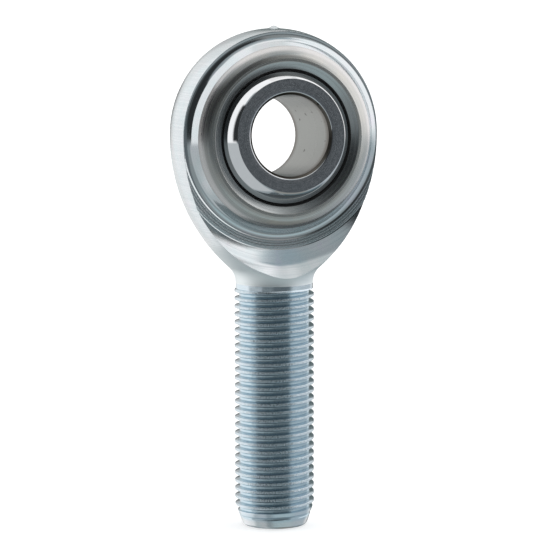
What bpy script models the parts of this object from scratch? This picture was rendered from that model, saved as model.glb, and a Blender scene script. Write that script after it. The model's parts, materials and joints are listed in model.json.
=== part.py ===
"""Male rod end bearing: a forged eye with a threaded shank, a staked race, a liner and a ball.

+Z runs up the shank to the eye, and Y is the ball's bore. The origin is the centre of the
shank's free end. Lengths are in metres.
"""

import math

import bmesh
import bpy

# The inch sizes of a 1/2 inch rod end.
SHANK_TO_BORE = 0.0620
BALL_WIDTH = 0.015875
BALL_RADIUS = 0.01188
BORE_RADIUS = 0.00635
BORE_CHAMFER = 0.00014
BALL_EDGE_BREAK = 0.00006
REST_TILT = math.radians(-3.5)

# Race and liner. A running gap keeps each round piece clear of the next one.
RACE_INNER_RADIUS = 0.0122
RACE_OUTER_RADIUS = 0.01424
RACE_LIP_RADIUS = 0.01196
RACE_LIP_HALF_WIDTH = 0.0063
RACE_MOUTH_HALF_WIDTH = 0.00575
RACE_CROWN = ((0.0126, 0.0062), (0.01314, 0.00598), (0.01365, 0.00559), (0.01409, 0.00513))
SEAM_HALF_WIDTH = 0.00494
LINER_THICKNESS = 0.0002
LINER_HALF_ANGLE = math.radians(27)
GAP = 0.00006

# The eye's blank, turned about the shank's axis.
HEAD_RADIUS = 0.01645
HEAD_LIFT = 0.00035
TIP_RISE = 0.0004
SHOULDER_RADIUS = 0.028
NECK_RADIUS = 0.0061
NECK_FILLET = 0.0034

# The eye's sides, turned about the bore's axis: (radius, half width) from the rim outward.
# A cove joins the rim's slope to a flat band, and a shallow step leads on to the cone.
RIM_SLOPE = math.radians(57)
COVE_CENTRE = (0.016064, 0.004718)
COVE_RADIUS = 0.0014
BAND_STEP = ((0.01742, 0.00343), (0.01756, 0.00314))
SIDE_CONE = ((0.0178, 0.00325), (0.0200, 0.00465), (0.0260, 0.0099))
SIDE_CUT_HALF_WIDTH = 0.018

# The thread, 1/2-20 right-hand.
PITCH = 0.00127
CREST_RADIUS = 0.00626
ROOT_RADIUS = 0.00555
CREST_FLAT = 0.00016
FLANK_ANGLE = math.radians(30)
THREAD_LENGTH = 0.0381
THREAD_START_ANGLE = math.radians(19.8)
END_RADIUS = 0.0051
END_CHAMFER_LENGTH = 0.0035
ENVELOPE_MARGIN = 0.0003

STEPS = 48
THREAD_STEPS = 20
ARC_STEP = math.radians(7)
SHARP_ANGLE = math.radians(25)
MERGE = 0.000001


def clear_scene():
    for obj in list(bpy.data.objects):
        bpy.data.objects.remove(obj, do_unlink=True)


def new_collection(name):
    collection = bpy.data.collections.new(name)
    bpy.context.scene.collection.children.link(collection)
    return collection


def new_material(name, colour, metallic, roughness):
    material = bpy.data.materials.new(name)
    material.use_nodes = True
    shader = material.node_tree.nodes["Principled BSDF"]
    shader.inputs["Base Color"].default_value = (*colour, 1.0)
    shader.inputs["Metallic"].default_value = metallic
    shader.inputs["Roughness"].default_value = roughness
    return material


def arc(centre, radius, start, end, step=ARC_STEP):
    """Points of (radius, height) round a centre, from one angle to another, angle 0 pointing outward."""
    count = max(1, math.ceil(abs(end - start) / step))
    angles = [start + (end - start) * i / count for i in range(count + 1)]
    return [(centre[0] + radius * math.cos(a), centre[1] + radius * math.sin(a)) for a in angles]


def mirrored(points):
    """The same outline on the other side of the middle plane, run the other way."""
    return [(r, -h) for r, h in reversed(points)]


def profile_mesh(name, points, is_ring):
    """A chain of edges at +X, joined end to end for a ring."""
    last = len(points) - 1
    edges = [(i, i + 1) for i in range(last)]
    if is_ring:
        edges.append((last, 0))
    mesh = bpy.data.meshes.new(name)
    mesh.from_pydata([(r, 0.0, h) for r, h in points], edges, [])
    return mesh


def realised(obj):
    """Turns the object's modifiers into its mesh, and shades its round faces smooth."""
    graph = bpy.context.evaluated_depsgraph_get()
    mesh = bpy.data.meshes.new_from_object(obj.evaluated_get(graph))
    profile = obj.data
    obj.modifiers.clear()
    obj.data = mesh
    bpy.data.meshes.remove(profile)
    mesh.shade_smooth()
    mesh.set_sharp_from_angle(angle=SHARP_ANGLE)
    return obj


def turned(name, collection, points, is_ring=False, tilt=0.0, height=0.0, steps=STEPS):
    """A profile of (radius, height) turned about its axis, tilted about X from +Z."""
    obj = bpy.data.objects.new(name, profile_mesh(name, points, is_ring))
    collection.objects.link(obj)
    obj.location.z = height
    obj.rotation_euler.x = tilt
    screw = obj.modifiers.new("Turned", "SCREW")
    screw.steps = steps
    screw.render_steps = steps
    screw.use_merge_vertices = True
    screw.merge_threshold = MERGE
    return realised(obj)


def make_helper(obj):
    obj.hide_render = True
    obj.display_type = "WIRE"
    return obj


def add_boolean(obj, other, operation):
    boolean = obj.modifiers.new(other.name, "BOOLEAN")
    boolean.operation = operation
    boolean.solver = "EXACT"
    boolean.object = other


def eye_blank(collection):
    """The eye, shoulder and neck as one turned blank, from a low point on top down to the thread."""
    centre = SHANK_TO_BORE + HEAD_LIFT
    crown = arc((0.0, centre), HEAD_RADIUS, math.pi / 2, 0.0)
    crown[0] = (0.0, centre + HEAD_RADIUS + TIP_RISE)
    shoulder_centre = HEAD_RADIUS - SHOULDER_RADIUS
    fillet_centre = NECK_RADIUS + NECK_FILLET
    reach = fillet_centre - shoulder_centre
    meet = -math.acos(reach / (SHOULDER_RADIUS + NECK_FILLET))
    shoulder = arc((shoulder_centre, SHANK_TO_BORE), SHOULDER_RADIUS, 0.0, meet)
    drop = (SHOULDER_RADIUS + NECK_FILLET) * math.sin(meet)
    fillet = arc((fillet_centre, SHANK_TO_BORE + drop), NECK_FILLET, math.pi + meet, math.pi, math.radians(15))
    bottom = THREAD_LENGTH - 1.5 * PITCH
    points = crown + shoulder + fillet[1:] + [(NECK_RADIUS, bottom), (0.0, bottom)]
    return turned("rod_end_body", collection, points)


def side_cutter(collection):
    """A spool turned about the bore: it takes the race's seat and both sides off the eye."""
    seat = RACE_OUTER_RADIUS + GAP
    cove = arc(COVE_CENTRE, COVE_RADIUS, 1.5 * math.pi - RIM_SLOPE, 1.5 * math.pi, math.radians(15))
    outline = [(seat, SEAM_HALF_WIDTH), *cove, *BAND_STEP, *SIDE_CONE]
    reach = SIDE_CONE[-1][0]
    upper = [(0.0, SIDE_CUT_HALF_WIDTH), (reach, SIDE_CUT_HALF_WIDTH), *reversed(outline)]
    cutter = turned("side_cutter", collection, upper + mirrored(upper), False, -math.pi / 2, SHANK_TO_BORE, 64)
    return make_helper(cutter)


def thread_helix(collection):
    """A closed bar with the thread on it, longer than the shank at both ends."""
    flank = (CREST_RADIUS - ROOT_RADIUS) * math.tan(FLANK_ANGLE)
    heights = [PITCH, PITCH - flank, PITCH - flank - CREST_FLAT, PITCH - 2 * flank - CREST_FLAT, 0.0]
    radii = [ROOT_RADIUS, CREST_RADIUS, CREST_RADIUS, ROOT_RADIUS, ROOT_RADIUS]
    thread = bpy.data.objects.new("thread", profile_mesh("thread", list(zip(radii, heights)), False))
    collection.objects.link(thread)
    screw = thread.modifiers.new("Helix", "SCREW")
    screw.steps = THREAD_STEPS
    screw.render_steps = THREAD_STEPS
    screw.screw_offset = PITCH
    screw.iterations = math.ceil(THREAD_LENGTH / PITCH) + 4
    realised(thread)
    mesh = bmesh.new()
    mesh.from_mesh(thread.data)
    bmesh.ops.remove_doubles(mesh, verts=mesh.verts, dist=MERGE)
    ends = bmesh.ops.holes_fill(mesh, edges=mesh.edges)["faces"]
    bmesh.ops.poke(mesh, faces=ends)
    bmesh.ops.recalc_face_normals(mesh, faces=mesh.faces)
    mesh.to_mesh(thread.data)
    mesh.free()
    thread.location.z = -2 * PITCH
    thread.rotation_euler.z = THREAD_START_ANGLE
    return make_helper(thread)


def thread_envelope(collection):
    """The outline that trims the thread: a chamfer at the free end and a short runout at the neck."""
    outer = CREST_RADIUS + ENVELOPE_MARGIN
    slope = END_CHAMFER_LENGTH / (CREST_RADIUS - END_RADIUS)
    points = [(0.0, THREAD_LENGTH), (ROOT_RADIUS, THREAD_LENGTH)]
    points += [(outer, THREAD_LENGTH - PITCH), (outer, (outer - END_RADIUS) * slope)]
    points += [(END_RADIUS, 0.0), (0.0, 0.0)]
    return make_helper(turned("thread_envelope", collection, points))


def rod_end_body(parts, cutters):
    body = eye_blank(parts)
    thread = thread_helix(cutters)
    add_boolean(thread, thread_envelope(cutters), "INTERSECT")
    add_boolean(body, thread, "UNION")
    add_boolean(body, side_cutter(cutters), "DIFFERENCE")
    return body


def outer_race(parts):
    mouth = math.asin(RACE_MOUTH_HALF_WIDTH / RACE_INNER_RADIUS)
    face = [(RACE_LIP_RADIUS, RACE_LIP_HALF_WIDTH), *RACE_CROWN, (RACE_OUTER_RADIUS, SEAM_HALF_WIDTH)]
    inside = arc((0.0, 0.0), RACE_INNER_RADIUS, -mouth, mouth)
    points = face + mirrored(face) + inside
    return turned("outer_race", parts, points, True, -math.pi / 2, SHANK_TO_BORE)


def liner(parts):
    inner = BALL_RADIUS + GAP
    outside = arc((0.0, 0.0), inner + LINER_THICKNESS, LINER_HALF_ANGLE, -LINER_HALF_ANGLE)
    inside = arc((0.0, 0.0), inner, -LINER_HALF_ANGLE, LINER_HALF_ANGLE)
    return turned("liner", parts, outside + inside, True, -math.pi / 2, SHANK_TO_BORE)


def ball(parts):
    half = BALL_WIDTH / 2
    edge = math.asin((half - BALL_EDGE_BREAK) / BALL_RADIUS)
    face_radius = BALL_RADIUS * math.cos(edge) - BALL_EDGE_BREAK
    face = [(BORE_RADIUS, half - BORE_CHAMFER), (BORE_RADIUS + BORE_CHAMFER, half), (face_radius, half)]
    points = face + arc((0.0, 0.0), BALL_RADIUS, edge, -edge) + mirrored(face)
    return turned("ball", parts, points, True, REST_TILT - math.pi / 2, SHANK_TO_BORE)


def main():
    clear_scene()
    parts = new_collection("rod_end_bearing")
    cutters = new_collection("cutters")
    body = rod_end_body(parts, cutters)
    body.data.materials.append(new_material("zinc_plate", (0.62, 0.65, 0.67), 1.0, 0.32))
    race = outer_race(parts)
    race.data.materials.append(new_material("turned_steel", (0.40, 0.39, 0.37), 1.0, 0.40))
    ring = liner(parts)
    ring.data.materials.append(new_material("liner", (0.015, 0.015, 0.016), 0.0, 0.60))
    inner = ball(parts)
    inner.data.materials.append(new_material("chrome_ball", (0.60, 0.60, 0.61), 1.0, 0.12))


main()
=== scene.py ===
"""The looks of the rod end bearing: fine turned surfaces, plating, chrome and studio light.

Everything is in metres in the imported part's frame: +Z up the shank, Y along the ball's bore.
"""

import json
import math

import bpy
import numpy as np
from mathutils import Matrix, Vector


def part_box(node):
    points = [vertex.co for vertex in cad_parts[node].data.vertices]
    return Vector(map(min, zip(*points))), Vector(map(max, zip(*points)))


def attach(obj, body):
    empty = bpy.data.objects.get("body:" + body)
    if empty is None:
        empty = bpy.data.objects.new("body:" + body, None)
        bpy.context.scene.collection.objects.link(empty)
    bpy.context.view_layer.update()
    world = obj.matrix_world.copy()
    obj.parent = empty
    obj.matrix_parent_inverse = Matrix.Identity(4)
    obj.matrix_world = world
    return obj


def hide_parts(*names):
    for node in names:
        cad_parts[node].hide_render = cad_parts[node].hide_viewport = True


MM = 0.001
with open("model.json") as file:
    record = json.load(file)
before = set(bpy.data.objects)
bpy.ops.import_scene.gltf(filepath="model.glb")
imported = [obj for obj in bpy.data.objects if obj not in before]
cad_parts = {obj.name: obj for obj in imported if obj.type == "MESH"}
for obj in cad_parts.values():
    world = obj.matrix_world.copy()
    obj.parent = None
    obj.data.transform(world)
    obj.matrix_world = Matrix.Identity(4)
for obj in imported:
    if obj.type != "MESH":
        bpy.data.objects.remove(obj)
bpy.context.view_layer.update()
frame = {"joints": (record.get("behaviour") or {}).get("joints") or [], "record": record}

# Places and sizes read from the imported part.
BORE_CENTRE = Vector(next(j for j in frame["joints"] if j["name"] == "ball_tilt")["pos_m"])
FRONT_FACE = next(m for m in frame["record"]["mounts"] if m["name"] == "ball_front_face")
BALL_FRONT = Vector(FRONT_FACE["axis"])
BALL_HALF_WIDTH = (Vector(FRONT_FACE["pos_m"]) - BORE_CENTRE).dot(BALL_FRONT)
BALL_TILT = math.atan2(-BALL_FRONT.z, -BALL_FRONT.y)
BALL_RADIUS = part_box("ball")[1].x
RACE_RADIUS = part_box("outer_race")[1].x
HEAD_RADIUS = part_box("rod_end_body")[1].x
HEAD_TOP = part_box("rod_end_body")[1].z

# The eye's blank, turned about the shank, with a small point left on top.
SHOULDER_RADIUS = 28 * MM
NECK_RADIUS = 6.12 * MM
NECK_FILLET = 3.4 * MM
TIP_RISE = 0.4 * MM
HEAD_CENTRE = HEAD_TOP - TIP_RISE - HEAD_RADIUS
# How far below the bore the neck's fillet has begun.
NECK_DROP = 22 * MM

# The thread, 1/2-20 right-hand.
PITCH = 1.27 * MM
THREAD_TOP = 38.2 * MM
CREST_RADIUS = 6.31 * MM
ROOT_RADIUS = 5.56 * MM
END_RADIUS = 5.1 * MM
END_CHAMFER = 3.5 * MM
END_LIP = 0.35 * MM
END_LIP_DROP = 0.12 * MM
RUNOUT = 0.3 * PITCH
# The helix is set by one crest's height at one angle about the shank.
THREAD_PHASE = math.radians(159.8)
CREST_HEIGHT = 43.845 * MM
# Where crest turns to flank and flank to root, with 0 at the crest's middle and 1 at the root's.
CREST_EDGE = 0.2
ROOT_EDGE = 0.76
FLANK_EASE = 0.11
CREST_CROWN = 0.02 * MM

# The eye's side, as radius and half width from the bore's centre, in mm: a rim, a cove, a flat
# band with fine turned rings on it, and a step that leads on to a cone.
RIM_HALF_WIDTH = 4.94
COVE_CENTRE = (16.064, 4.718)
COVE_RADIUS = 1.4
BAND_INNER = 16.2
BAND_RINGS = 3
BAND_RING_STEP = 0.4
STEP_AND_CONE = (
    (17.42, 3.43, 0.08),
    (17.56, 3.14, 0.08),
    (17.75, 3.22, 0.1),
    (20.0, 4.65, 6.0),
    (26.0, 9.9, 0.0),
)

# The race's face, as (radius, half width, corner radius) in mm, from its mouth outward.
RACE_MOUTH = (10.76, 5.72)
RACE_FACE = (
    (*RACE_MOUTH, 0.0),
    (11.90, 6.27, 0.12),
    (12.35, 6.253, 0.12),
    (12.89, 6.138, 1.6),
    (13.678, 5.627, 4.3),
    (RACE_RADIUS / MM, 4.955, 0.0),
)

LINER_CLEARANCE = 0.03 * MM
LINER_THICKNESS = 0.24 * MM
LINER_HALF_ANGLE = 27

BORE_RADIUS = 6.35 * MM
BORE_CHAMFER_WIDTH = 0.45 * MM
BORE_CHAMFER_DEPTH = 0.5 * MM

# The camera's place in mm from the bore's centre, and its azimuth, elevation and roll in degrees.
CAMERA_OFFSET = (-154.05, -418.88, 33.87)
CAMERA_TURN = (-20.209, 7.153, -0.094)
CAMERA_LENS = 186.15

FINE_STEPS = 360
LINER_STEPS = 180
THREAD_STEPS = 120
THREAD_ROWS = 24


def arc(centre, radius, start, end, count):
    """Points of (radius, height) round a centre; angles in degrees, 0 pointing outward."""
    angles = np.radians(np.linspace(start, end, count + 1))
    return [(centre[0] + radius * math.cos(a), centre[1] + radius * math.sin(a)) for a in angles]


def rounded(points, count=4):
    """A chain of (x, y, corner radius) as plain points, each corner with a radius cut to an arc."""
    out = []
    for i, (x, y, radius) in enumerate(points):
        here = Vector((x, y))
        if radius == 0 or i in (0, len(points) - 1):
            out.append((x, y))
            continue
        back = Vector(points[i - 1][:2]) - here
        ahead = Vector(points[i + 1][:2]) - here
        half = back.angle(ahead) / 2
        reach = min(radius / math.tan(half), 0.49 * back.length, 0.49 * ahead.length)
        centre = here + (back.normalized() + ahead.normalized()).normalized() * (reach / math.cos(half))
        first = here + back.normalized() * reach - centre
        last = here + ahead.normalized() * reach - centre
        sweep = first.angle_signed(last)
        for k in range(count + 1):
            turn = Matrix.Rotation(-sweep * k / count, 2)
            p = centre + turn @ first
            out.append((p.x, p.y))
    return out


def mirrored(points):
    return [(r, -h) for r, h in reversed(points)]


def lathe(name, points, is_ring, steps=FINE_STEPS):
    """A closed solid turned about its own Z from points of (radius, height)."""
    turn = 2 * np.pi * np.arange(steps) / steps
    poles = [] if is_ring else [points[0], points[-1]]
    rows = points if is_ring else points[1:-1]
    r = np.array([p[0] for p in rows])
    h = np.array([p[1] for p in rows])
    x, y = np.outer(r, np.cos(turn)), np.outer(r, np.sin(turn))
    z = np.repeat(h[:, None], steps, axis=1)
    vertices = np.stack([x, y, z], -1).reshape(-1, 3).tolist()
    vertices += [(0.0, 0.0, p[1]) for p in poles]
    count = len(rows)
    around = np.arange(steps)
    after = (around + 1) % steps
    faces = []
    for i in range(count if is_ring else count - 1):
        a, b = i * steps, ((i + 1) % count) * steps
        faces += np.stack([a + around, b + around, b + after, a + after], -1).tolist()
    if poles:
        top, bottom = count * steps, count * steps + 1
        faces += [(top, int(a), int(b)) for a, b in zip(around, after)]
        last = (count - 1) * steps
        faces += [(bottom, int(last + b), int(last + a)) for a, b in zip(around, after)]
    return add_mesh(name, vertices, faces)


def add_mesh(name, vertices, faces):
    mesh = bpy.data.meshes.new(name)
    mesh.from_pydata(vertices, [], faces)
    mesh.validate()
    obj = bpy.data.objects.new(name, mesh)
    bpy.context.scene.collection.objects.link(obj)
    return obj


def about_bore(obj, tilt=0.0):
    """Moves a mesh turned about its own Z onto the bore's axis, +Z to the rear."""
    turn = Matrix.Rotation(tilt - math.pi / 2, 4, "X")
    obj.data.transform(Matrix.Translation(BORE_CENTRE) @ turn)
    return obj


def with_modifiers_applied(obj):
    graph = bpy.context.evaluated_depsgraph_get()
    mesh = bpy.data.meshes.new_from_object(obj.evaluated_get(graph))
    obj.modifiers.clear()
    obj.data = mesh
    return obj


def combine(obj, other, operation):
    """Joins or cuts a solid with another, which is used up."""
    boolean = obj.modifiers.new("Combine", "BOOLEAN")
    boolean.operation = operation
    boolean.solver = "MANIFOLD"
    boolean.object = other
    bpy.context.view_layer.update()
    with_modifiers_applied(obj)
    bpy.data.objects.remove(other)


def smooth(obj, sharp_degrees=32):
    obj.data.shade_smooth()
    obj.data.set_sharp_from_angle(angle=math.radians(sharp_degrees))


# ---------------------------------------------------------------- shapes


def side_outline():
    """Half of the eye's side, (radius, half width) from the race's seat outward."""
    rim = [(RACE_RADIUS / MM + 0.01, RIM_HALF_WIDTH)]
    cove = arc(COVE_CENTRE, COVE_RADIUS, 213, 270, 14)
    ridge = ((0.0, 3.39, 0.05), (0.6, 3.41, 0.05))
    groove = ((0.7, 3.31, 0.03), (0.9, 3.32, 0.03))
    band = []
    for i in range(BAND_RINGS):
        inner = BAND_INNER + i * BAND_RING_STEP
        band += [(inner + part * BAND_RING_STEP, height, r) for part, height, r in ridge + groove]
    return [(x * MM, y * MM) for x, y in rim + cove + rounded([*band, *STEP_AND_CONE])]


def eye_blank():
    """The eye, shoulder and neck, turned about the shank's axis."""
    tip = [(0.0, HEAD_TOP), (0.3 * MM, HEAD_TOP - 0.05 * MM), (0.6 * MM, HEAD_TOP - 0.26 * MM)]
    crown = tip + arc((0.0, HEAD_CENTRE), HEAD_RADIUS, 86.5, 0, 60)
    shoulder_centre = HEAD_RADIUS - SHOULDER_RADIUS
    fillet_centre = NECK_RADIUS + NECK_FILLET
    reach = SHOULDER_RADIUS + NECK_FILLET
    meet = -math.degrees(math.acos((fillet_centre - shoulder_centre) / reach))
    shoulder = arc((shoulder_centre, BORE_CENTRE.z), SHOULDER_RADIUS, 0, meet, 50)
    drop = reach * math.sin(math.radians(meet))
    fillet = arc((fillet_centre, BORE_CENTRE.z + drop), NECK_FILLET, 180 + meet, 180, 12)
    bottom = THREAD_TOP - RUNOUT
    edge = (NECK_RADIUS, bottom, 0.15 * MM)
    foot = rounded([(NECK_RADIUS, bottom + 1 * MM, 0), edge, (3 * MM, bottom, 0)])
    points = crown + shoulder + fillet[1:] + foot + [(0.0, bottom)]
    return lathe("rod_end_body_fine", points, False)


def side_cutter():
    """All that the sides of the eye are cut back by, on both sides at once."""
    outline = side_outline()
    clear = 20 * MM
    upper = [(0.0, clear), (outline[-1][0], clear), *reversed(outline)]
    return about_bore(lathe("side_cutter", upper + mirrored(upper), False))


def thread_radius(height, phase):
    """The thread's radius at a height, where phase runs 0 to 1 from crest to crest."""
    from_crest = np.abs(phase - np.round(phase)) * 2
    slope = np.clip((from_crest - CREST_EDGE) / (ROOT_EDGE - CREST_EDGE), 0, 1)
    eased = slope - FLANK_EASE * np.sin(2 * np.pi * slope)
    radius = CREST_RADIUS + (ROOT_RADIUS - CREST_RADIUS) * eased
    radius -= CREST_CROWN * np.cos(np.pi / 2 * np.clip(from_crest / CREST_EDGE, 0, 1))
    runout = np.clip((THREAD_TOP - height) / RUNOUT, 0, 1)
    radius = (NECK_RADIUS - 0.12 * MM) * (1 - runout) + radius * runout
    cone = END_RADIUS + (CREST_RADIUS - END_RADIUS) * height / END_CHAMFER
    cone -= END_LIP_DROP * np.clip(1 - height / END_LIP, 0, 1) ** 2
    return np.minimum(radius, cone)


def threaded_shank():
    """One turn's outline, carried up a helix and closed on the axis at both ends."""
    rows = THREAD_ROWS
    turns = math.ceil(THREAD_TOP / PITCH) + 3
    columns = turns * THREAD_STEPS
    start = CREST_HEIGHT - PITCH * math.ceil(CREST_HEIGHT / PITCH + 1)
    along = np.arange(columns + 1) / THREAD_STEPS
    phase = np.arange(rows + 1) / rows
    height = start + PITCH * (along[:, None] + phase[None, :])
    radius = thread_radius(height, np.broadcast_to(phase, height.shape))
    angle = THREAD_PHASE + 2 * np.pi * along[:, None]
    x, y = radius * np.cos(angle), radius * np.sin(angle)
    vertices = np.stack([x, y, height], -1).reshape(-1, 3)
    index = np.arange(height.size).reshape(height.shape)
    for column in range(columns + 1 - THREAD_STEPS):
        index[column + THREAD_STEPS, 0] = index[column, rows]
    faces = np.stack([index[:-1, :-1], index[1:, :-1], index[1:, 1:], index[:-1, 1:]], -1)
    faces = faces.reshape(-1, 4).tolist()
    low, high = len(vertices), len(vertices) + 1
    vertices = vertices.tolist() + [(0, 0, start + PITCH / 2), (0, 0, float(height[-1, rows // 2]))]
    first_turn = [int(index[c, 0]) for c in range(THREAD_STEPS + 1)]
    rim = first_turn + [int(i) for i in reversed(index[0, :-1])][:-1]
    faces += [(low, b, a) for a, b in zip(rim, rim[1:] + rim[:1])]
    last_turn = [int(index[c, rows]) for c in range(columns - THREAD_STEPS, columns + 1)]
    rim = last_turn + [int(i) for i in reversed(index[-1, 1:-1])]
    faces += [(high, a, b) for a, b in zip(rim, rim[1:] + rim[:1])]
    return add_mesh("thread", vertices, faces)


def slab(low, high):
    """A block that keeps only what lies between two heights."""
    wide = 20 * MM
    square = ((-wide, -wide), (wide, -wide), (wide, wide), (-wide, wide))
    corners = [(x, y, z) for z in (low, high) for x, y in square]
    sides = [(i, (i + 1) % 4, (i + 1) % 4 + 4, i + 4) for i in range(4)]
    return add_mesh("slab", corners, [(3, 2, 1, 0), (4, 5, 6, 7)] + sides)


def make_body():
    """The eye, neck and threaded shank as one closed solid."""
    body = eye_blank()
    combine(body, side_cutter(), "DIFFERENCE")
    thread = threaded_shank()
    combine(thread, slab(0.0, THREAD_TOP + RUNOUT), "INTERSECT")
    combine(body, thread, "UNION")
    smooth(body)
    return body


def make_race():
    """The race, hollowed to a sphere inside its two contoured faces."""
    mouth = (RACE_MOUTH[0] * MM, RACE_MOUTH[1] * MM)
    inner = math.hypot(*mouth)
    angle = math.degrees(math.atan2(mouth[1], mouth[0]))
    face = rounded([(x * MM, y * MM, r * MM) for x, y, r in RACE_FACE], 6)
    inside = arc((0, 0), inner, -angle, angle, 40)[1:-1]
    race = about_bore(lathe("outer_race_fine", face + mirrored(face) + inside, True))
    smooth(race)
    return race


def make_liner():
    """The liner, a thin band of a sphere between race and ball."""
    inner = BALL_RADIUS + LINER_CLEARANCE
    outside = arc((0, 0), inner + LINER_THICKNESS, LINER_HALF_ANGLE, -LINER_HALF_ANGLE, 30)
    inside = arc((0, 0), inner, -LINER_HALF_ANGLE, LINER_HALF_ANGLE, 30)
    ring = about_bore(lathe("liner_fine", outside + inside, True, LINER_STEPS))
    smooth(ring)
    return ring


def make_ball():
    """The ball, with flat faces and a bore that is chamfered at both mouths."""
    half = BALL_HALF_WIDTH
    edge = math.degrees(math.asin((half - 0.05 * MM) / BALL_RADIUS))
    chamfer_start = half - BORE_CHAMFER_DEPTH
    face = [
        (BORE_RADIUS, chamfer_start - 0.1 * MM, 0),
        (BORE_RADIUS, chamfer_start, 0.1 * MM),
        (BORE_RADIUS + BORE_CHAMFER_WIDTH, half, 0.25 * MM),
        (7.5 * MM, half, 0),
    ]
    rim = BALL_RADIUS * math.cos(math.radians(edge))
    face = rounded(face) + [(rim - 0.06 * MM, half)]
    points = face + arc((0, 0), BALL_RADIUS, edge, -edge, 60) + mirrored(face)
    ball = about_bore(lathe("ball_fine", points, True), BALL_TILT)
    smooth(ball)
    return ball


# ---------------------------------------------------------------- materials


class Graph:
    """A node tree being built: each call adds one node, wires it and gives its first output."""

    def __init__(self, tree):
        self.tree = tree

    def add(self, kind, *inputs, **settings):
        node = self.tree.nodes.new("ShaderNode" + kind)
        for key, value in settings.items():
            setattr(node, key, value)
        for socket, value in zip(node.inputs, inputs):
            self.feed(socket, value)
        return node.outputs[0]

    def feed(self, socket, value):
        if isinstance(value, bpy.types.NodeSocket):
            self.tree.links.new(value, socket)
        elif value is not None:
            socket.default_value = value

    def math(self, operation, *inputs):
        return self.add("Math", *inputs, operation=operation)

    def ramp(self, value, low, high, to_low=0.0, to_high=1.0):
        """A value eased from one range to another."""
        return self.add("MapRange", value, low, high, to_low, to_high, interpolation_type="SMOOTHSTEP")

    def noise(self, place, scale, detail=2.0, roughness=0.5):
        """Noise at a place in metres, scale in features for each metre."""
        return self.add("TexNoise", place, None, scale, detail, roughness)

    def mix(self, factor, first, second):
        node = self.tree.nodes.new("ShaderNodeMix")
        node.data_type = "RGBA"
        for name, value in (("Factor_Float", factor), ("A_Color", first), ("B_Color", second)):
            self.feed(next(i for i in node.inputs if i.identifier == name), value)
        return next(o for o in node.outputs if o.identifier == "Result_Color")


def rgb(red, green, blue):
    return (red, green, blue, 1.0)


def metal(name, metallic=1.0):
    """A new material with its graph, its shader and its place in metres."""
    material = bpy.data.materials.new(name)
    material.use_nodes = True
    graph = Graph(material.node_tree)
    shader = material.node_tree.nodes["Principled BSDF"]
    shader.inputs["Metallic"].default_value = metallic
    place = material.node_tree.nodes.new("ShaderNodeTexCoord").outputs["Object"]
    return material, graph, shader, place


def about_bore_place(graph, place, tilt=0.0):
    """A place measured from the bore's centre, with Z along the bore."""
    turn = (tilt - math.pi / 2, 0.0, 0.0)
    return graph.add("Mapping", place, tuple(BORE_CENTRE), turn, vector_type="TEXTURE")


def turned_place(graph, place):
    """Radius and height of a place, so that noise on it makes rings as a lathe tool does."""
    parts = graph.tree.nodes.new("ShaderNodeSeparateXYZ")
    graph.feed(parts.inputs[0], place)
    x, y, z = parts.outputs
    radius = graph.math("SQRT", graph.math("ADD", graph.math("POWER", x, 2.0), graph.math("POWER", y, 2.0)))
    return graph.add("CombineXYZ", radius, z, 0.0), radius, z


def add_bump(graph, shader, height, depth):
    """Raises the surface by a height of 0 to 1 times a depth in metres."""
    node = graph.tree.nodes.new("ShaderNodeBump")
    node.inputs["Strength"].default_value = 1.0
    node.inputs["Distance"].default_value = depth
    graph.feed(node.inputs["Height"], height)
    graph.feed(shader.inputs["Normal"], node.outputs[0])


def plate_tints(graph, place):
    """The faint blue, green and pink of bright zinc plate, in soft patches."""
    patches = graph.noise(place, 420.0, 2.0, 0.6)
    cool = graph.mix(graph.ramp(patches, 0.35, 0.6), rgb(0.64, 0.69, 0.70), rgb(0.68, 0.70, 0.71))
    return graph.mix(graph.ramp(patches, 0.58, 0.75), cool, rgb(0.69, 0.68, 0.72))


def zinc_turned(name, tilt_to_bore):
    """Zinc plate over turned steel, its tool marks round the bore or the shank; satin at the neck, with
    painted light there as a paler colour.
    """
    material, graph, shader, place = metal(name)
    centred = about_bore_place(graph, place) if tilt_to_bore else place
    rings, _, height = turned_place(graph, centred)
    marks = graph.noise(rings, 3600.0, 4.0, 0.65)
    grain = graph.noise(place, 5200.0, 2.0)
    tint = plate_tints(graph, place)
    streaks = graph.ramp(marks, 0.3, 0.7)
    colour = graph.mix(graph.math("MULTIPLY", streaks, 0.35), tint, rgb(0.48, 0.54, 0.57))
    smoothest = 0.1
    if not tilt_to_bore:
        # At the neck: satin roughness, and painted light as a paler base colour.
        satin_and_painted_light = graph.ramp(height, 42 * MM, 47 * MM, 1.0, 0.0)
        smoothest = graph.ramp(satin_and_painted_light, 0.0, 1.0, 0.2, 0.52)
        colour = graph.mix(satin_and_painted_light, colour, rgb(0.90, 0.94, 0.94))
    graph.feed(shader.inputs["Base Color"], colour)
    uneven = graph.ramp(marks, 0.3, 0.75, 0.0, 0.1)
    graph.feed(shader.inputs["Roughness"], graph.math("ADD", uneven, smoothest))
    relief = graph.math("ADD", marks, graph.math("MULTIPLY", grain, 0.25))
    add_bump(graph, shader, relief, 3.5e-6 if tilt_to_bore else 1.5e-6)
    return material


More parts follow.
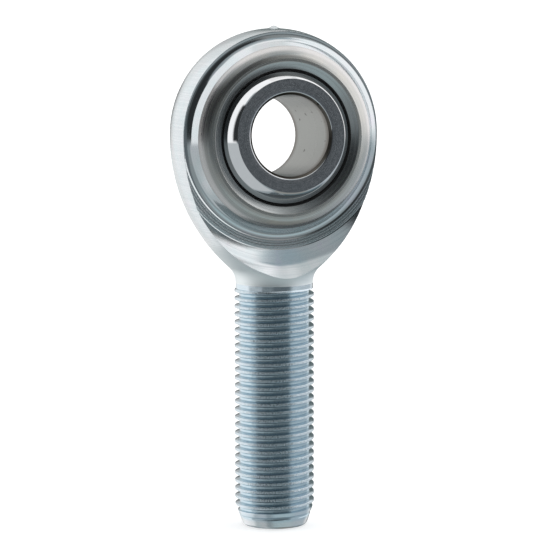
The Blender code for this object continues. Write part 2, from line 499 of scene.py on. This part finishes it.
def zinc_thread():
    """Zinc plate over a rolled thread: painted shade, darker and bluer, in the roots; nicked and duller on
    the crests.
    """
    material, graph, shader, place = metal("zinc_thread")
    _, radius, height = turned_place(graph, place)
    crest = graph.ramp(radius, CREST_RADIUS - 0.13 * MM, CREST_RADIUS - 0.02 * MM)
    nicks = graph.ramp(graph.noise(place, 2300.0, 3.0, 0.6), 0.52, 0.64)
    worn = graph.math("MULTIPLY", crest, nicks)
    tint = plate_tints(graph, place)
    # Painted shade: the roots are coloured darker and bluer, except at the shank's end.
    root = graph.ramp(radius, ROOT_RADIUS, ROOT_RADIUS + 0.35 * MM)
    shank_end = graph.ramp(height, 0.8 * MM, 1.8 * MM, 1.0, 0.0)
    root = graph.math("MAXIMUM", root, shank_end)
    flank = graph.mix(shank_end, graph.mix(0.6, tint, rgb(0.60, 0.70, 0.77)), tint)
    # The painted shade's dark blue in the roots, the flank colour elsewhere.
    base = graph.mix(root, rgb(0.50, 0.61, 0.67), flank)
    graph.feed(shader.inputs["Base Color"], graph.mix(worn, base, rgb(0.54, 0.62, 0.65)))
    grain = graph.noise(place, 4200.0, 3.0, 0.6)
    smoothness = graph.ramp(grain, 0.3, 0.7, 0.13, 0.24)
    roughness = graph.math("ADD", smoothness, graph.math("MULTIPLY", crest, 0.1))
    graph.feed(shader.inputs["Roughness"], roughness)
    low_grain = graph.math("MULTIPLY", grain, 0.4)
    relief = graph.math("SUBTRACT", low_grain, graph.math("MULTIPLY", worn, 1.2))
    add_bump(graph, shader, relief, 9e-6)
    return material


def race_steel():
    """Bare turned steel, greyer and browner than the plate, with coarser rings and small nicks."""
    material, graph, shader, place = metal("race_steel")
    centred = about_bore_place(graph, place)
    rings, radius, _ = turned_place(graph, centred)
    marks = graph.noise(rings, 3000.0, 4.0, 0.7)
    smudge = graph.noise(place, 500.0, 3.0, 0.6)
    warm = graph.mix(graph.ramp(smudge, 0.35, 0.65), rgb(0.56, 0.56, 0.54), rgb(0.60, 0.585, 0.55))
    past_bevel = graph.ramp(radius, 11.7 * MM, 12.0 * MM)
    cool = rgb(0.50, 0.52, 0.52)
    base = graph.mix(past_bevel, cool, warm)
    crown = graph.ramp(radius, 13.1 * MM, 13.9 * MM)
    base = graph.mix(crown, base, rgb(0.65, 0.635, 0.625))
    streaks = graph.math("MULTIPLY", graph.ramp(marks, 0.35, 0.7), 0.28)
    graph.feed(shader.inputs["Base Color"], graph.mix(streaks, base, rgb(0.38, 0.38, 0.37)))
    graph.feed(shader.inputs["Roughness"], graph.ramp(marks, 0.25, 0.75, 0.2, 0.36))
    nicks = graph.ramp(graph.noise(place, 2600.0, 2.0), 0.66, 0.74)
    relief = graph.math("SUBTRACT", marks, nicks)
    add_bump(graph, shader, relief, 2.2e-6)
    return material


def liner_cloth():
    """The liner's woven edge: a fine dark weave."""
    material, graph, shader, place = metal("liner_cloth", 0.0)
    weave = graph.noise(place, 5200.0, 2.0)
    colour = graph.mix(weave, rgb(0.004, 0.004, 0.005), rgb(0.02, 0.019, 0.018))
    graph.feed(shader.inputs["Base Color"], colour)
    graph.feed(shader.inputs["Roughness"], graph.ramp(weave, 0.3, 0.7, 0.5, 0.75))
    add_bump(graph, shader, weave, 8e-6)
    return material


def ball_chrome():
    """Polished chrome with the faintest wipe marks."""
    material, graph, shader, place = metal("ball_chrome")
    wipe = graph.noise(place, 900.0, 4.0, 0.6)
    graph.feed(shader.inputs["Base Color"], graph.mix(wipe, rgb(0.72, 0.73, 0.74), rgb(0.80, 0.80, 0.81)))
    graph.feed(shader.inputs["Roughness"], graph.ramp(wipe, 0.35, 0.75, 0.03, 0.09))
    return material


def ball_ground_face():
    """The ball's flat faces, ground in fine arcs."""
    material, graph, shader, place = metal("ball_ground_face")
    centred = about_bore_place(graph, place, BALL_TILT)
    rings, _, _ = turned_place(graph, centred)
    marks = graph.noise(rings, 5200.0, 3.0, 0.7)
    grain = graph.noise(place, 2600.0, 4.0, 0.75)
    blend = graph.math("MULTIPLY", graph.math("ADD", marks, grain), 0.5)
    colour = graph.mix(graph.ramp(blend, 0.36, 0.64), rgb(0.45, 0.47, 0.50), rgb(0.54, 0.55, 0.58))
    graph.feed(shader.inputs["Base Color"], colour)
    graph.feed(shader.inputs["Roughness"], graph.ramp(blend, 0.35, 0.65, 0.16, 0.26))
    add_bump(graph, shader, blend, 0.8e-6)
    return material


def ball_bore_wall():
    """The honed bore: duller and warmer, marked round the axis, with painted shade in dark brown at its
    chamfered mouths.
    """
    material, graph, shader, place = metal("ball_bore_wall")
    centred = about_bore_place(graph, place, BALL_TILT)
    rings, _, depth = turned_place(graph, centred)
    marks = graph.noise(rings, 4200.0, 4.0, 0.7)
    specks = graph.ramp(graph.noise(place, 900.0, 1.0), 0.74, 0.78)
    colour = graph.mix(graph.ramp(marks, 0.3, 0.7), rgb(0.23, 0.235, 0.22), rgb(0.28, 0.285, 0.27))
    # Painted shade: the wall is coloured dark brown towards each chamfered mouth.
    from_middle = graph.math("ABSOLUTE", depth)
    mouth = graph.ramp(from_middle, BALL_HALF_WIDTH - 2.4 * MM, BALL_HALF_WIDTH - 0.9 * MM)
    colour = graph.mix(graph.math("MULTIPLY", mouth, 0.9), colour, rgb(0.12, 0.108, 0.092))
    graph.feed(shader.inputs["Base Color"], graph.mix(specks, colour, rgb(0.05, 0.045, 0.04)))
    graph.feed(shader.inputs["Roughness"], graph.ramp(marks, 0.3, 0.7, 0.26, 0.42))
    add_bump(graph, shader, marks, 4e-6)
    return material


def sort_faces(obj, materials, choose):
    """Gives each face of a mesh the material that a test of its centre picks."""
    obj.data.materials.clear()
    for material in materials:
        obj.data.materials.append(material)
    for face in obj.data.polygons:
        face.material_index = choose(face.center)


def ball_surface(point):
    """Of a point on the ball: 0 for its sphere and the bore's rim, 1 for a flat face, 2 for the bore."""
    away = point - BORE_CENTRE
    along = away.dot(BALL_FRONT)
    radius = (away - along * BALL_FRONT).length
    if abs(along) > BALL_HALF_WIDTH - 0.02 * MM:
        return 1
    return 2 if radius < BORE_RADIUS + 0.34 * MM else 0


def blank_radius(height):
    """The turned blank's radius at a height above the neck's fillet."""
    if height >= HEAD_CENTRE:
        return math.sqrt(max(HEAD_RADIUS**2 - (height - HEAD_CENTRE) ** 2, 0.0))
    drop = max(BORE_CENTRE.z - height, 0.0)
    return HEAD_RADIUS - SHOULDER_RADIUS + math.sqrt(SHOULDER_RADIUS**2 - drop**2)


def body_surface(point):
    """Of a point on the body: 0 for the thread, 1 for the turned blank, 2 for the sides of the eye."""
    radius = math.hypot(point.x, point.y)
    if point.z < THREAD_TOP + 0.25 * PITCH:
        return 0
    if point.z < BORE_CENTRE.z - NECK_DROP:
        return 1
    return 1 if radius > blank_radius(point.z) - 0.02 * MM else 2


# ---------------------------------------------------------------- camera and light


def add_camera():
    """The camera, in front of the bore, to its left and a little above it."""
    camera = bpy.data.objects.new("camera", bpy.data.cameras.new("camera"))
    bpy.context.scene.collection.objects.link(camera)
    camera.data.lens = CAMERA_LENS
    camera.data.sensor_width = 36
    camera.data.clip_start = 0.01
    camera.data.clip_end = 100
    azimuth, elevation, roll = (math.radians(a) for a in CAMERA_TURN)
    level = math.cos(elevation)
    back = Vector((math.sin(azimuth) * level, -math.cos(azimuth) * level, math.sin(elevation)))
    right = (-back).cross(Vector((0, 0, 1))).normalized()
    up = right.cross(-back)
    rolled_right = math.cos(roll) * right + math.sin(roll) * up
    rolled_up = math.cos(roll) * up - math.sin(roll) * right
    turn = Matrix((rolled_right, rolled_up, back)).transposed()
    place = BORE_CENTRE + Vector(CAMERA_OFFSET) * MM
    camera.matrix_world = Matrix.Translation(place) @ turn.to_4x4()
    bpy.context.scene.camera = camera


# Each panel of the studio: middle azimuth and half width, lowest and highest elevation, softness
# of the sides and of the top and bottom, all in degrees, then its brightness and its tint.
# Azimuth 0 is in front of the bore and 90 is to the right. Later panels cover earlier ones.
PANELS = (
    ("floor_left", -88, 34, -90, -8, 14, 4, 0.6, (0.94, 1.0, 1.03)),
    ("floor_right", 85, 50, -50, -4, 20, 30, 0.58, (0.9, 1.0, 1.08)),
    ("floor_below", 60, 50, -91, -55, 30, 12, 0.3, (1.0, 1.03, 0.98)),
    ("floor_front", -5, 52, -34, -13, 30, 14, 0.36, (0.92, 1.0, 1.03)),
    ("floor_near", 15, 42, -56, -32, 30, 10, 0.6, (0.84, 1.0, 1.05)),
    ("shadow_behind", 152, 42, -78, -36, 20, 10, 0.12, (0.58, 1.0, 1.18)),
    ("ceiling", 0, 181, 64, 91, 1, 10, 1.15, (1.0, 1.0, 1.0)),
    ("ceiling_front", 4, 40, 60, 73, 16, 5, 0.72, (0.96, 1.0, 1.01)),
    ("backdrop", 160, 40, -30, 90, 16, 6, 1.0, (1.0, 1.0, 1.0)),
    ("dim_behind", 166, 10, 9, 30, 8, 10, 0.55, (0.98, 1.0, 1.0)),
    ("room_behind", 168, 16, -5, 7, 8, 4, 0.1, (1.0, 1.0, 0.96)),
    ("behind_right", 150, 14, -32, 24, 5, 6, 0.16, (0.8, 1.0, 1.0)),
    ("far_left_softbox", -134, 32, -42, 90, 6, 24, 1.2, (0.99, 1.0, 1.01)),
    ("left_softbox", -92, 16, -8, 90, 2, 3, 1.15, (0.99, 1.0, 1.01)),
    ("right_softbox", 83, 48, -5, 62, 6, 8, 1.28, (1.0, 1.0, 1.01)),
    ("gap_above_right", 38, 17, 48, 62, 8, 6, 0.45, (0.82, 1.0, 1.1)),
    ("dark_room", -34, 51, -6, 43, 4, 5, 0.035, (0.9, 1.0, 1.06)),
    ("dark_low", 12, 20, -2, 9, 6, 4, 0.11, (0.92, 1.0, 1.04)),
    ("table_front", 2, 26, -14, -1, 8, 4, 0.17, (0.86, 1.0, 1.08)),
    ("glow_right", 23, 8, 10, 44, 6, 6, 0.34, (0.96, 1.0, 1.0)),
)
GROUND = (0.33, 0.38, 0.40)
SKY = (0.40, 0.44, 0.46)


def add_world():
    """The studio as the metal sees it: soft panels on every side and a dark room in front."""
    world = bpy.data.worlds.new("studio")
    bpy.context.scene.world = world
    world.use_nodes = True
    graph = Graph(world.node_tree)
    away = world.node_tree.nodes.new("ShaderNodeTexCoord").outputs["Generated"]
    parts = world.node_tree.nodes.new("ShaderNodeSeparateXYZ")
    graph.feed(parts.inputs[0], away)
    x, y, z = parts.outputs
    azimuth = graph.math("ARCTAN2", x, graph.math("MULTIPLY", y, -1.0))
    elevation = graph.math("ARCSINE", z)
    colour = graph.mix(graph.ramp(elevation, math.radians(-14), math.radians(0)), rgb(*GROUND), rgb(*SKY))
    for _, middle, half, low, high, side_soft, end_soft, brightness, tint in PANELS:
        middle, half, side_soft, end_soft = (math.radians(a) for a in (middle, half, side_soft, end_soft))
        aside = graph.math("WRAP", graph.math("SUBTRACT", azimuth, middle), math.pi, -math.pi)
        aside = graph.math("ABSOLUTE", aside)
        across = graph.ramp(aside, half - side_soft / 2, half + side_soft / 2, 1.0, 0.0)
        centre, reach = math.radians((low + high) / 2), math.radians((high - low) / 2)
        above = graph.math("ABSOLUTE", graph.math("SUBTRACT", elevation, centre))
        along = graph.ramp(above, reach - end_soft / 2, reach + end_soft / 2, 1.0, 0.0)
        cover = graph.math("MULTIPLY", across, along)
        colour = graph.mix(cover, colour, rgb(*(brightness * t for t in tint)))
    graph.feed(world.node_tree.nodes["Background"].inputs["Color"], colour)


def add_floor():
    """A pale, faintly glowing table top, out to the horizon. The metal sees the studio instead."""
    reach = 20.0
    corners = [(-reach, -reach, 0.0), (reach, -reach, 0.0), (reach, reach, 0.0), (-reach, reach, 0.0)]
    floor = add_mesh("floor", corners, [(0, 1, 2, 3)])
    material, _, shader, _ = metal("floor", 0.0)
    shader.inputs["Roughness"].default_value = 0.9
    shader.inputs["Base Color"].default_value = rgb(0.9, 0.9, 0.9)
    shader.inputs["Emission Color"].default_value = rgb(1.0, 1.0, 1.0)
    shader.inputs["Emission Strength"].default_value = 0.45
    floor.data.materials.append(material)
    floor.visible_glossy = False


body = make_body()
race = make_race()
ring = make_liner()
ball = make_ball()
for piece, node, home, slot in (
    (body, "rod_end_body", "housing", "zinc_plate"),
    (race, "outer_race", "housing", "turned_steel"),
    (ring, "liner", "liner_ring", "liner"),
    (ball, "ball", "ball", "chrome_ball"),
):
    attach(piece, home)
    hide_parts(node)
eye_sides = zinc_turned("zinc_turned_side", True)
round_blank = zinc_turned("zinc_turned_blank", False)
sort_faces(body, (zinc_thread(), round_blank, eye_sides), body_surface)
sort_faces(ball, (ball_chrome(), ball_ground_face(), ball_bore_wall()), ball_surface)
race.data.materials.append(race_steel())
ring.data.materials.append(liner_cloth())
add_camera()
add_world()
add_floor()
bpy.context.scene.view_settings.view_transform = "Standard"
